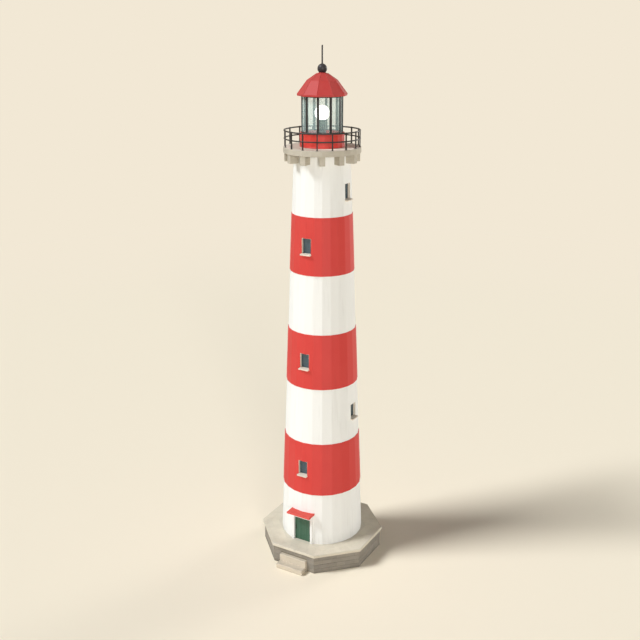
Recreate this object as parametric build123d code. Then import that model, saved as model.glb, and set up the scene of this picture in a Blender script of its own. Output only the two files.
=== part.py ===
from build123d import *
from math import acos, asin, atan, cos, degrees, pi, radians, sin, sqrt, tan
import os

# Round masonry lighthouse with red and white bands on an octagonal stone plinth.
# Millimetres, +Z up. The origin is on the tower's axis at ground level, and the
# entrance faces -Y. Every solid is written in this one frame. Radii of many-sided
# forms are to their corners.

# ---------------------------------------------------------------- plinth and steps
PLINTH_SIDES = 8
PLINTH_BODY_R = 4740.0
PLINTH_H = 1660.0           # ground to the tower's foot
CAP_OVERHANG = 160.0        # cap corners beyond the body's corners
CAP_T = 220.0
CAP_BEVEL = 30.0

STEP_W = 2310.0
LOWER_RISE = 400.0
UPPER_RISE = 560.0
LOWER_GOING = 520.0
UPPER_GOING = 250.0
STEP_EDGE = 45.0            # rounding of each step's upper edges

# ---------------------------------------------------------------- tower wall
TOWER_SIDES = 24
TOWER_FOOT_R = 3220.0
TOWER_TOP_R = 2039.0
FOOT_WALL = 970.0           # wall thickness at the foot
TOP_WALL = 538.0            # and under the gallery
FIRST_WHITE_H = 4224.0
RED_H = 4240.0
WHITE_H = 4434.0
LAST_WHITE_H = 4346.0
RED_PROUD = 35.0            # the red render is this much thicker than the white
BAND_HEIGHTS = (FIRST_WHITE_H, RED_H, WHITE_H, RED_H, WHITE_H, RED_H, LAST_WHITE_H)

# ---------------------------------------------------------------- entrance
DOORWAY_W = 1440.0          # clear opening in the portal
DOORWAY_H = 2040.0
JAMB_W = 190.0
LINTEL_H = 456.0
PORTAL_SETBACK = 40.0       # portal front in from the wall's corner line at the foot
PORTAL_DEPTH = 186.0
PORTAL_BEVEL = 20.0
HOOD_EAR = 110.0            # hood beyond the portal at each end
HOOD_T = 140.0
HOOD_REACH = 534.0          # hood front beyond the wall's corner line
HOOD_BEVEL = 15.0

DOOR_T = 60.0
DOOR_LAP = 25.0             # leaf laps the portal's back at the sides and above
DOOR_GAP = 6.0              # leaf to portal
DOOR_FLOOR_GAP = 12.0
HINGE_SIDE = 28.0           # pin axis beyond the leaf's edge
HINGE_BACK = 26.0           # pin axis behind the leaf's inner face
PIN_R = 11.0
PIN_CLEARANCE = 0.3
KNUCKLE_T = 9.0
KNUCKLE_H = 80.0
PIN_ABOVE = 35.0            # pin beyond the knuckle's middle
PINTLE_FOOT_H = 60.0
PINTLE_ARM_W = 20.0
STRAP_L = 1180.0
STRAP_W = 76.0              # at the knuckle
STRAP_TIP_W = 34.0
STRAP_T = 8.0
HINGE_HEIGHTS = (300.0, 1070.0, 1800.0)
PASSAGE_SIDE_GAP = 17.0     # knuckle to the passage's side
PASSAGE_HEAD_GAP = 45.0     # leaf's top to the passage's head
HANDLE_H = 1050.0           # grip's middle above the floor
HANDLE_L = 320.0
HANDLE_R = 13.0
HANDLE_REACH = 60.0
HANDLE_INSET = 110.0        # grip axis from the leaf's free edge

# ---------------------------------------------------------------- windows
WINDOW_W = 760.0            # opening in the masonry
WINDOW_H = 1130.0           # sill top to the head of the opening
LINING_T = 12.0
LINING_SETBACK = 60.0       # lining front in from the wall's corner line
WINDOW_RECESS = 240.0       # wall's corner line back to the sash
SASH_W = 30.0
SASH_D = 70.0
PANE_T = 16.0
SILL_EAR = 40.0            # sill beyond the opening at each end
SILL_T = 100.0
SILL_REACH = 180.0
SILL_FALL = 30.0            # weathered top, from the wall to the nose
# band counted from the foot, centre height above that band's foot, turn about Z from -Y
WINDOWS = (
    (1, 2140.0, 0.0),
    (2, 2225.0, 90.0),
    (3, 2140.0, 0.0),
    (4, 2140.0, -90.0),
    (5, 2150.0, 0.0),
    (6, 1715.0, 90.0),
)

# ---------------------------------------------------------------- gallery
GALLERY_R = 2794.0
GALLERY_T = 405.0
GALLERY_BEVEL = 25.0
CORBELS = 12
CORBEL_H = 638.0
CORBEL_W = 400.0
CORBEL_SETBACK = 85.0      # corbel ends in from the gallery's corners
CORBEL_BEVEL = 20.0
RAIL_POSTS = 16
RAIL_SETBACK = 96.0         # post axes in from the gallery's corners
POST_W = 80.0
POST_FOOT_W = 160.0
POST_FOOT_T = 18.0
TOP_RAIL_H = 1140.0         # deck to the top rail's axis
MID_RAIL_H = 580.0
TOP_RAIL_D = 70.0
MID_RAIL_D = 50.0
RAIL_FACETS = 48
BAR_SIDES = 8

# ---------------------------------------------------------------- lantern
DRUM_SIDES = 20
DRUM_R = 1600.0
DRUM_WALL = 250.0
DRUM_H = 989.0
LANTERN_SIDES = 10
MULLION_INSET = 168.0       # mullion axes in from the drum's corners
MULLION_W = 150.0           # outer flange
MULLION_FLANGE = 32.0
MULLION_WEB = 46.0
MULLION_D = 100.0           # flange face to the web's back
GLASS_T = 18.0
GLASS_EDGE_GAP = 2.0        # pane to web
GLAZING_H = 2528.0          # drum top to the eave
EAVE_OVERHANG = 353.0       # eave corners beyond the mullion axes
EAVE_FASCIA = 115.0
EAVE_LIP = 12.0             # the eave's lower edge is turned in by this
KNEE_R = 1080.0
KNEE_RISE = 928.0           # fascia top to the knee
CROWN_R = 395.0
CROWN_RISE = 460.0          # knee to the flat crown
ROOF_T = 80.0
MOUTH_SETBACK = 57.0        # roof's inside corners in from the mullions' backs
BALL_R = 340.0
BALL_SEAT = 30.0            # how far the ball is flattened where it stands
BALL_TOP_ANGLE = 78.0       # latitude of the small flat that the rod leaves from
BALL_SIDES = 24
BALL_RINGS = 11
ROD_R = 40.0
ROD_H = 1241.0              # ball top to the tip
ROD_SOCKET = 120.0
PEDESTAL_R = 270.0
PEDESTAL_FOOT_R = 360.0
PEDESTAL_FOOT_H = 60.0
GLOBE_R = 530.0
GLOBE_H = 2332.0            # deck to the globe's centre
GLOBE_WALL = 22.0
GLOBE_TOP_ANGLE = 84.0      # latitude of the small flat on top
NECK_RUNOUT = 10.0          # degrees that the hollow goes on below the neck, to open it
GLOBE_SIDES = 32
GLOBE_RINGS = 15

# ---------------------------------------------------------------- worked out
SHAFT_H = sum(BAND_HEIGHTS)
ROOM_FOOT_R = TOWER_FOOT_R - FOOT_WALL
ROOM_TOP_R = TOWER_TOP_R - TOP_WALL
CAP_R = PLINTH_BODY_R + CAP_OVERHANG
PORTAL_W = DOORWAY_W + 2 * JAMB_W
PORTAL_H = DOORWAY_H + LINTEL_H
PORTAL_FRONT = TOWER_FOOT_R - PORTAL_SETBACK
PORTAL_BACK = PORTAL_FRONT - PORTAL_DEPTH
RAIL_R = GALLERY_R - RAIL_SETBACK
MULLION_R = DRUM_R - MULLION_INSET
EAVE_R = MULLION_R + EAVE_OVERHANG
MOUTH_R = MULLION_R - MULLION_D / 2 - MOUTH_SETBACK

FOOT_Z = PLINTH_H
DECK_UNDER_Z = FOOT_Z + SHAFT_H
DECK_Z = DECK_UNDER_Z + GALLERY_T
DRUM_TOP_Z = DECK_Z + DRUM_H
EAVE_Z = DRUM_TOP_Z + GLAZING_H
FASCIA_TOP_Z = EAVE_Z + EAVE_FASCIA
KNEE_Z = FASCIA_TOP_Z + KNEE_RISE
CROWN_Z = KNEE_Z + CROWN_RISE
FAR = 3 * CAP_R             # longer than anything that it cuts

os.makedirs("parts", exist_ok=True)
nodes = {}


def keep(name, *shapes):
    """File the solids of one node under its name."""
    nodes[name] = [solid for shape in shapes for solid in shape.solids()]


def prism(sides, r_low, r_high, z_low, z_high, turn=0.0):
    """Upright prism or pyramid slice on a regular polygon."""
    rise = z_high - z_low
    slope = degrees(atan((r_low - r_high) * cos(pi / sides) / rise))
    base = RegularPolygon(r_low, sides, rotation=turn)
    return Pos(0, 0, z_low) * extrude(base, amount=rise, taper=slope)


def block(x0, x1, y0, y1, z0, z1):
    """Box between two corners."""
    place = Pos((x0 + x1) / 2, (y0 + y1) / 2, (z0 + z1) / 2)
    return place * Box(x1 - x0, y1 - y0, z1 - z0)


def upright(x, y, r, z0, z1):
    """Upright round bar."""
    return Pos(x, y, (z0 + z1) / 2) * Cylinder(r, z1 - z0)


def around(count, piece, first=0.0):
    """Copies of a piece set evenly round the tower's axis."""
    return [Rot(0, 0, first + index * 360 / count) * piece for index in range(count)]


def level_edges(shape, z):
    """Edges that lie flat at one height."""
    return shape.edges().filter_by_position(Axis.Z, z, z)


# ---------------------------------------------------------------- plinth and steps
corner_turn = 180 / PLINTH_SIDES
cap_under_z = PLINTH_H - CAP_T
keep("plinth_body", prism(PLINTH_SIDES, PLINTH_BODY_R, PLINTH_BODY_R, 0, cap_under_z, corner_turn))
cap = prism(PLINTH_SIDES, CAP_R, CAP_R, cap_under_z, PLINTH_H, corner_turn)
keep("plinth_cap", chamfer(level_edges(cap, PLINTH_H), CAP_BEVEL))

plinth_face = PLINTH_BODY_R * cos(pi / PLINTH_SIDES)


def step(front, z_low, z_high):
    """One stone step against the plinth's front, its upper edges rounded."""
    stone = block(-STEP_W / 2, STEP_W / 2, -front, -plinth_face, z_low, z_high)
    worn = level_edges(stone, z_high).sort_by(Axis.Y)[:-1]      # all but the one at the plinth
    return fillet(worn, STEP_EDGE)


upper_front = plinth_face + UPPER_GOING
keep("lower_step", step(upper_front + LOWER_GOING, 0, LOWER_RISE))
keep("upper_step", step(upper_front, LOWER_RISE, LOWER_RISE + UPPER_RISE))

# ---------------------------------------------------------------- door, hung on three pintles
leaf_half = DOORWAY_W / 2 + DOOR_LAP
leaf_out = PORTAL_BACK - DOOR_GAP
leaf_in = leaf_out - DOOR_T
leaf_top = FOOT_Z + DOORWAY_H + DOOR_LAP
door_leaf = block(-leaf_half, leaf_half, -leaf_out, -leaf_in, FOOT_Z + DOOR_FLOOR_GAP, leaf_top)

hinge_x = leaf_half + HINGE_SIDE
hinge_y = -leaf_in + HINGE_BACK
bore_r = PIN_R + PIN_CLEARANCE
knuckle_r = bore_r + KNUCKLE_T


def strap(z):
    """Tapering strap along the leaf's inner face, with its knuckle round the pin."""
    outline = Polyline((hinge_x, z - STRAP_W / 2), (hinge_x, z + STRAP_W / 2),
                       (hinge_x - STRAP_L, z + STRAP_TIP_W / 2),
                       (hinge_x - STRAP_L, z - STRAP_TIP_W / 2), close=True)
    bar = Plane.XZ.offset(leaf_in) * extrude(make_face(outline), amount=-STRAP_T)
    knuckle = upright(hinge_x, hinge_y, knuckle_r, z - KNUCKLE_H / 2, z + KNUCKLE_H / 2)
    return knuckle + bar - upright(hinge_x, hinge_y, bore_r, z - KNUCKLE_H, z + KNUCKLE_H)


def pintle(z):
    """Pin that carries one knuckle, on a foot held by an arm from the portal's back."""
    foot_z = z - KNUCKLE_H / 2 - PIN_CLEARANCE
    pin = upright(hinge_x, hinge_y, PIN_R, foot_z, z + PIN_ABOVE)
    foot = upright(hinge_x, hinge_y, knuckle_r, foot_z - PINTLE_FOOT_H, foot_z)
    arm = block(hinge_x - PINTLE_ARM_W / 2, hinge_x + PINTLE_ARM_W / 2, -PORTAL_BACK, hinge_y,
                foot_z - PINTLE_FOOT_H, foot_z)
    return pin + foot + arm


grip_x = -leaf_half + HANDLE_INSET
grip_y = -leaf_out - HANDLE_REACH
grip_z = FOOT_Z + HANDLE_H
grip = upright(grip_x, grip_y, HANDLE_R, grip_z - HANDLE_L / 2, grip_z + HANDLE_L / 2)
stem = Rot(90, 0, 0) * Cylinder(HANDLE_R, HANDLE_REACH)
for end in (-1, 1):
    stem_z = grip_z + end * (HANDLE_L / 2 - 2 * HANDLE_R)
    grip = grip + Pos(grip_x, -leaf_out - HANDLE_REACH / 2, stem_z) * stem
keep("door_leaf", door_leaf)
keep("door_handle", grip)
keep("door_straps", *[strap(FOOT_Z + height) for height in HINGE_HEIGHTS])
keep("hinge_pintles", *[pintle(FOOT_Z + height) for height in HINGE_HEIGHTS])

# ---------------------------------------------------------------- openings in the wall
passage_half = hinge_x + knuckle_r + PASSAGE_SIDE_GAP
passage_top_z = leaf_top + PASSAGE_HEAD_GAP
portal_top_z = FOOT_Z + PORTAL_H
portal_cut = block(-PORTAL_W / 2, PORTAL_W / 2, -FAR, -PORTAL_BACK, FOOT_Z, portal_top_z)
passage_cut = block(-passage_half, passage_half, -PORTAL_BACK, 0, FOOT_Z, passage_top_z)

window_places = []
for band, height, turn in WINDOWS:
    above_foot = sum(BAND_HEIGHTS[:band]) + height
    corner_line = TOWER_FOOT_R + (TOWER_TOP_R - TOWER_FOOT_R) * above_foot / SHAFT_H
    corner_line = corner_line + (RED_PROUD if band % 2 else 0)
    window_places.append((band, FOOT_Z + above_foot, turn, corner_line))


def window_cut(z_mid, turn):
    """Tunnel for one window, with the sill's bed at its foot."""
    half = WINDOW_W / 2
    z_low = z_mid - WINDOW_H / 2 - SILL_T
    return Rot(0, 0, turn) * block(-half, half, -FAR, 0, z_low, z_mid + WINDOW_H / 2)


# ---------------------------------------------------------------- wall bands
# Each band is two half rings that meet on the plane of the door, and the lowest
# one is closed over the passage by a third piece.
shaft_room = prism(TOWER_SIDES, ROOM_FOOT_R, ROOM_TOP_R, FOOT_Z, DECK_UNDER_Z)
white_wall = prism(TOWER_SIDES, TOWER_FOOT_R, TOWER_TOP_R, FOOT_Z, DECK_UNDER_Z) - shaft_room
red_wall = prism(TOWER_SIDES, TOWER_FOOT_R + RED_PROUD, TOWER_TOP_R + RED_PROUD, FOOT_Z, DECK_UNDER_Z)
red_wall = red_wall - shaft_room

rings = []
for index, band_height in enumerate(BAND_HEIGHTS):
    low = FOOT_Z + sum(BAND_HEIGHTS[:index])
    high = low + band_height
    ring = (red_wall if index % 2 else white_wall) & block(-FAR, FAR, -FAR, FAR, low, high)
    for band, z_mid, turn, corner_line in window_places:
        if band == index:
            ring = ring - window_cut(z_mid, turn)
    if index == 0:
        ring = ring - portal_cut - passage_cut
    rings.append(ring)
    name = f"{'red' if index % 2 else 'white'}_band_{index // 2 + 1}"
    left = ring & block(-FAR, 0, -FAR, FAR, low, high)
    right = ring & block(0, FAR, -FAR, FAR, low, high)
    if index == 0:
        over = block(-PORTAL_W / 2, PORTAL_W / 2, -FAR, 0, passage_top_z, high)
        keep(f"{name}_over_door", ring & over)
        left = left - over
        right = right - over
    keep(f"{name}_left", left)
    keep(f"{name}_right", right)

# ---------------------------------------------------------------- portal and hood
jamb = block(DOORWAY_W / 2, PORTAL_W / 2, -PORTAL_FRONT, -PORTAL_BACK, FOOT_Z, FOOT_Z + DOORWAY_H)
arris = jamb.edges().filter_by(Axis.Z).sort_by(Axis.Y)[:2].sort_by(Axis.X)[0]
jamb = chamfer(arris, PORTAL_BEVEL)
keep("portal_jambs", mirror(jamb, about=Plane.YZ), jamb)
keep("portal_lintel", block(-PORTAL_W / 2, PORTAL_W / 2, -PORTAL_FRONT, -PORTAL_BACK,
                            FOOT_Z + DOORWAY_H, portal_top_z))
hood_half = PORTAL_W / 2 + HOOD_EAR
hood = block(-hood_half, hood_half, -TOWER_FOOT_R - HOOD_REACH, -ROOM_FOOT_R, portal_top_z,
             portal_top_z + HOOD_T)
hood = chamfer(level_edges(hood, portal_top_z + HOOD_T), HOOD_BEVEL)
keep("entrance_hood", hood - rings[0] - shaft_room)

# ---------------------------------------------------------------- windows
half = WINDOW_W / 2
clear = half - LINING_T
linings = []
sashes = []
panes = []
sills = []
for band, z_mid, turn, corner_line in window_places:
    spin = Rot(0, 0, turn)
    sill_z = z_mid - WINDOW_H / 2
    head_z = z_mid + WINDOW_H / 2
    sash_out = corner_line - WINDOW_RECESS
    sash_in = sash_out - SASH_D
    pane_mid = (sash_out + sash_in) / 2
    lining = block(-half, half, -corner_line + LINING_SETBACK, -sash_in, sill_z, head_z)
    lining = lining - block(-clear, clear, -FAR, 0, sill_z, head_z - LINING_T)
    sash = block(-clear, clear, -sash_out, -sash_in, sill_z, head_z - LINING_T)
    light = block(-clear + SASH_W, clear - SASH_W, -FAR, 0, sill_z + SASH_W, head_z - LINING_T - SASH_W)
    pane = light & block(-half, half, -pane_mid - PANE_T / 2, -pane_mid + PANE_T / 2, sill_z, head_z)
    nose = -corner_line - SILL_REACH
    profile = Polyline((nose, sill_z - SILL_T), (nose, sill_z - SILL_FALL),
                       (-corner_line + LINING_SETBACK, sill_z), (-sash_in, sill_z),
                       (-sash_in, sill_z - SILL_T), close=True)
    sill_half = half + SILL_EAR
    sill = Plane.YZ * extrude(make_face(profile), amount=sill_half, both=True)
    linings.append(spin * lining)
    sashes.append(spin * (sash - light))
    panes.append(spin * pane)
    sills.append(spin * sill - rings[band])
keep("window_linings", *linings)
keep("window_sashes", *sashes)
keep("window_panes", *panes)
keep("window_sills", *sills)

# ---------------------------------------------------------------- gallery
corbel_end = GALLERY_R - CORBEL_SETBACK
corbel_low = DECK_UNDER_Z - CORBEL_H
corbel = block(0, corbel_end, -CORBEL_W / 2, CORBEL_W / 2, corbel_low, DECK_UNDER_Z)
corbel = chamfer(level_edges(corbel, corbel_low).sort_by(Axis.X)[-1], CORBEL_BEVEL)
keep("gallery_corbels", *[stone - rings[-1] - shaft_room for stone in around(CORBELS, corbel)])
deck = prism(TOWER_SIDES, GALLERY_R, GALLERY_R, DECK_UNDER_Z, DECK_Z)
keep("gallery_deck", chamfer(level_edges(deck, DECK_Z), GALLERY_BEVEL))


def ring_bar(axis_r, z, diameter):
    """Round bar bent to a ring: mitred runs about the tower's axis."""
    half_turn = radians(180 / RAIL_FACETS)
    run = 2 * axis_r * sin(half_turn) + 2 * diameter
    section = RegularPolygon(diameter / 2, BAR_SIDES, rotation=180 / BAR_SIDES)
    bar = Rot(90, 0, 0) * extrude(section, amount=run / 2, both=True)
    bar = Pos(axis_r * cos(half_turn), 0, z) * bar
    reach = 2 * axis_r
    outline = Polyline((0, 0), (reach, -reach * tan(half_turn)), (reach, reach * tan(half_turn)), close=True)
    sector = Pos(0, 0, z - diameter) * extrude(make_face(outline), amount=2 * diameter)
    runs = around(RAIL_FACETS, bar & sector, 180 / RAIL_FACETS)
    return runs[0].fuse(*runs[1:])


top_rail = ring_bar(RAIL_R, DECK_Z + TOP_RAIL_H, TOP_RAIL_D)
mid_rail = ring_bar(RAIL_R, DECK_Z + MID_RAIL_H, MID_RAIL_D)
post = block(RAIL_R - POST_W / 2, RAIL_R + POST_W / 2, -POST_W / 2, POST_W / 2, DECK_Z, DECK_Z + TOP_RAIL_H)
post = post + block(RAIL_R - POST_FOOT_W / 2, RAIL_R + POST_FOOT_W / 2 - GALLERY_BEVEL, -POST_FOOT_W / 2,
                    POST_FOOT_W / 2, DECK_Z, DECK_Z + POST_FOOT_T)
keep("railing_posts", *[piece - top_rail - mid_rail for piece in around(RAIL_POSTS, post)])
keep("railing_top_rail", top_rail)
keep("railing_mid_rail", mid_rail)

# ---------------------------------------------------------------- lantern drum and glazing
drum = prism(DRUM_SIDES, DRUM_R, DRUM_R, DECK_Z, DRUM_TOP_Z)
keep("lantern_drum", drum - prism(DRUM_SIDES, DRUM_R - DRUM_WALL, DRUM_R - DRUM_WALL, DECK_Z, DRUM_TOP_Z))

# T bars with the flange outside; each pane's outer edges bear on the backs of two flanges
flange_out = MULLION_R + MULLION_D / 2
flange_in = flange_out - MULLION_FLANGE
web_in = flange_out - MULLION_D
mullion = block(flange_in, flange_out, -MULLION_W / 2, MULLION_W / 2, DRUM_TOP_Z, EAVE_Z)
mullion = mullion + block(web_in, flange_out, -MULLION_WEB / 2, MULLION_WEB / 2, DRUM_TOP_Z, EAVE_Z)
keep("lantern_mullions", *around(LANTERN_SIDES, mullion))

half_bay = pi / LANTERN_SIDES
bearing_y = MULLION_WEB / 2 + GLASS_EDGE_GAP + GLASS_T * sin(half_bay)
pane_out = flange_in * cos(half_bay) + bearing_y * sin(half_bay)
pane_half = flange_in * sin(half_bay) - bearing_y * cos(half_bay)
glass = block(pane_out - GLASS_T, pane_out, -pane_half, pane_half, DRUM_TOP_Z, EAVE_Z)
keep("lantern_panes", *around(LANTERN_SIDES, glass, degrees(half_bay)))

# ---------------------------------------------------------------- roof
lower_pitch = (EAVE_R - KNEE_R) / KNEE_RISE
inner_knee_r = KNEE_R - ROOF_T
inner_knee_z = KNEE_Z - ROOF_T
mouth_top_z = inner_knee_z - (MOUTH_R - inner_knee_r) / lower_pitch
roof = prism(LANTERN_SIDES, EAVE_R - EAVE_LIP, EAVE_R, EAVE_Z, FASCIA_TOP_Z)
roof = roof + prism(LANTERN_SIDES, EAVE_R, KNEE_R, FASCIA_TOP_Z, KNEE_Z)
roof = roof + prism(LANTERN_SIDES, KNEE_R, CROWN_R, KNEE_Z, CROWN_Z)
roof_room = prism(LANTERN_SIDES, MOUTH_R, MOUTH_R, EAVE_Z, mouth_top_z)
roof_room = roof_room + prism(LANTERN_SIDES, MOUTH_R, inner_knee_r, mouth_top_z, inner_knee_z)
roof_room = roof_room + prism(LANTERN_SIDES, inner_knee_r, CROWN_R - ROOF_T / 2, inner_knee_z,
                              CROWN_Z - ROOF_T)
keep("lantern_roof", roof - roof_room)


def gored_ball(radius, z_mid, low, high, sides, rings):
    """Ball of flat gores between two latitudes in degrees, with a flat at each end."""
    levels = [radians(low + (high - low) * k / rings) for k in range(rings + 1)]
    hoops = [[Vector(radius * cos(level) * cos(2 * pi * k / sides),
                     radius * cos(level) * sin(2 * pi * k / sides),
                     z_mid + radius * sin(level)) for k in range(sides)] for level in levels]
    faces = [Face(Wire.make_polygon(hoops[0])), Face(Wire.make_polygon(hoops[-1]))]
    for lower, upper in zip(hoops, hoops[1:]):
        for k in range(sides):
            after = (k + 1) % sides
            faces.append(Face(Wire.make_polygon([lower[k], lower[after], upper[after], upper[k]])))
    return Solid(Shell(faces))


# ---------------------------------------------------------------- ball and rod
ball_z = CROWN_Z + BALL_R - BALL_SEAT
seat_angle = -degrees(asin(1 - BALL_SEAT / BALL_R))
ball = gored_ball(BALL_R, ball_z, seat_angle, BALL_TOP_ANGLE, BALL_SIDES, BALL_RINGS)
rod = upright(0, 0, ROD_R, ball_z + BALL_R - ROD_SOCKET, ball_z + BALL_R + ROD_H)
keep("roof_ball", ball - rod)
keep("lightning_rod", rod)

# ---------------------------------------------------------------- lamp
globe_z = DECK_Z + GLOBE_H
neck_z = globe_z - sqrt(GLOBE_R ** 2 - PEDESTAL_R ** 2)
neck_angle = -degrees(acos(PEDESTAL_R / GLOBE_R))
globe = gored_ball(GLOBE_R, globe_z, neck_angle, GLOBE_TOP_ANGLE, GLOBE_SIDES, GLOBE_RINGS)
hollow_low = neck_angle - NECK_RUNOUT
hollow = gored_ball(GLOBE_R - GLOBE_WALL, globe_z, hollow_low, GLOBE_TOP_ANGLE, GLOBE_SIDES, GLOBE_RINGS)
keep("lamp_globe", globe - hollow)
pedestal = upright(0, 0, PEDESTAL_R, DECK_Z, neck_z)
keep("lamp_pedestal", pedestal + upright(0, 0, PEDESTAL_FOOT_R, DECK_Z, DECK_Z + PEDESTAL_FOOT_H))

# ---------------------------------------------------------------- write the pieces
for name, solids in nodes.items():
    shape = solids[0] if len(solids) == 1 else Compound(children=solids)
    export_step(shape, f"parts/{name}.step")
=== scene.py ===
import logging
import math
from dataclasses import dataclass, field, replace
from enum import Enum
from functools import cache, partial
from typing import Any, Callable, ClassVar, Iterable, Sequence

import bmesh
import bpy
from mathutils import Matrix, Vector


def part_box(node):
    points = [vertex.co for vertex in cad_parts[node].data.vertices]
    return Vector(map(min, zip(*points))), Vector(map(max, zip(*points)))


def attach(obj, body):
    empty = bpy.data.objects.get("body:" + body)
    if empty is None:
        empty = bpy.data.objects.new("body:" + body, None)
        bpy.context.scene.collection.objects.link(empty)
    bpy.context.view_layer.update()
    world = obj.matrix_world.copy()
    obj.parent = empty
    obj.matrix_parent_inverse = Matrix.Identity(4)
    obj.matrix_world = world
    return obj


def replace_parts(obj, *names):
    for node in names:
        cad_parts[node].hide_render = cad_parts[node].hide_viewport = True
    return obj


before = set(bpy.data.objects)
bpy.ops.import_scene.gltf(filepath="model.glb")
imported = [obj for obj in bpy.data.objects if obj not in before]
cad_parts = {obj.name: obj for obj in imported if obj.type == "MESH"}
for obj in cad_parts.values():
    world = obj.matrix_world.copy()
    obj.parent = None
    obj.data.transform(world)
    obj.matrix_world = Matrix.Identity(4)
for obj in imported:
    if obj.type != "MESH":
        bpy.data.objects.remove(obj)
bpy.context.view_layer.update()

LOG = logging.getLogger("lighthouse")
MM = 0.001
TOWER = "tower"
DOOR = "door"
BACKDROP = "#F2E8D5"        # the studio's paper behind and under the model
PITCH_EASE = 0.9999         # shortens a pitch so that a row keeps its last head
UP = Vector((0, 0, 1))
FRONT = Vector((0, -1, 0))      # the way that the door looks

Colour = tuple[float, float, float, float]
Loop = Sequence[Vector]
Line = tuple[Loop, Vector | Loop]           # points, with one facing for all or one for each
Face = tuple[Loop, Vector]                  # outline, with the direction that it looks in
Profile = Sequence[tuple[float, float]]     # radius and height of each point
Node = bpy.types.Node
Socket = bpy.types.NodeSocket
Piece = bpy.types.Object
Adder = Callable[..., Node]                 # add_node on a given tree


# ------------------------------------------------------------------ shared tools
def linear(code: str) -> Colour:
    """Turn an sRGB hex code into a linear colour.

    Args:
        code: Six hex digits after a hash.

    Returns:
        Red, green, blue and an alpha of one.
    """
    parts = [int(code[k:k + 2], 16) / 255 for k in (1, 3, 5)]
    parts = [p / 12.92 if p <= 0.04045 else ((p + 0.055) / 1.055) ** 2.4 for p in parts]
    return (parts[0], parts[1], parts[2], 1.0)


def add_node(tree: bpy.types.NodeTree, kind: str, *values: Any, **named: Any) -> Node:
    """Add one node with its settings, values and links.

    Args:
        tree: Node tree that gets the node.
        kind: Node type.
        *values: What the first open inputs get: a value, a socket, or a node for its first open output.
        **named: Settings in small letters; inputs with a capital, and underscores for spaces.

    Returns:
        The new node.
    """
    node = tree.nodes.new(kind)
    for key in filter(str.islower, named):
        setattr(node, key, named[key])
    sockets = [socket for socket in node.inputs if socket.enabled]
    wanted = list(zip(sockets, values))
    for key, value in named.items():
        if not key.islower():
            wanted.append((next(s for s in sockets if s.name == key.replace("_", " ")), value))
    for socket, value in wanted:
        if isinstance(value, Node):
            value = next(output for output in value.outputs if output.enabled)
        if isinstance(value, Socket):
            tree.links.new(value, socket)
        else:
            socket.default_value = value
    return node


def new_object(name: str, mesh: bpy.types.Mesh) -> Piece:
    """Link a mesh to the scene as an object at the origin.

    Args:
        name: Name of the object.
        mesh: Its mesh.

    Returns:
        The object.
    """
    obj = bpy.data.objects.new(name, mesh)
    bpy.context.scene.collection.objects.link(obj)
    return obj


def solids(node: str) -> list[tuple[Vector, Vector]]:
    """Boxes of the separate solids in one CAD node.

    Args:
        node: Name of the CAD node.

    Returns:
        Lowest and highest corner of each solid, from the lowest solid up.
    """
    copy = bmesh.new()
    copy.from_mesh(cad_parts[node].data)
    bmesh.ops.remove_doubles(copy, verts=copy.verts, dist=0.05 * MM)
    boxes, seen = [], set()
    for start in copy.verts:
        if start in seen:
            continue
        seen.add(start)
        island, edge = [], [start]
        while edge:
            vert = edge.pop()
            island.append(vert.co.copy())
            fresh = {link.other_vert(vert) for link in vert.link_edges} - seen
            seen |= fresh
            edge += fresh
        boxes.append(tuple(Vector([pick(p[k] for p in island) for k in range(3)]) for pick in (min, max)))
    copy.free()
    return sorted(boxes, key=lambda pair: (round(pair[0].z, 3), math.atan2(*(pair[0] + pair[1]).xy)))


def bearings(node: str) -> list[float]:
    """Angle in degrees, round the tower's axis, of each solid in a CAD node."""
    return [math.degrees(math.atan2((low + high).y, (low + high).x)) for low, high in solids(node)]


def hoop(node: str) -> tuple[float, float]:
    """Radius and height of the middle line of a CAD ring."""
    low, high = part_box(node)
    return high.x - (high.z - low.z) / 2, (low.z + high.z) / 2


def polar(radius: float, degrees: float, z: float) -> Vector:
    """Point at a radius and angle round the tower's axis."""
    angle = math.radians(degrees)
    return Vector((radius * math.cos(angle), radius * math.sin(angle), z))


def radial(degrees: float) -> tuple[Vector, Vector]:
    """Directions away from the tower's axis and round it."""
    out = polar(1, degrees, 0)
    return out, Vector((-out.y, out.x, 0))


def upright(x0: float, x1: float, y: float, z0: float, z1: float) -> list[Vector]:
    """Corners of an upright rectangle that faces along Y."""
    return [Vector((x, y, z)) for x, z in ((x0, z0), (x1, z0), (x1, z1), (x0, z1))]


def raised(profile: Profile, base: float) -> list[tuple[float, float]]:
    """A profile whose heights count from a base."""
    return [(radius, base + z) for radius, z in profile]


def arc(radius: float, middle: float, start: float, steps: int) -> list[tuple[float, float]]:
    """Profile of a ball from a level, in radians, up to just short of its top."""
    levels = [start + (math.pi / 2 - start) * k / steps for k in range(steps)]
    return [(radius * math.cos(level), middle + radius * math.sin(level)) for level in levels]


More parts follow.
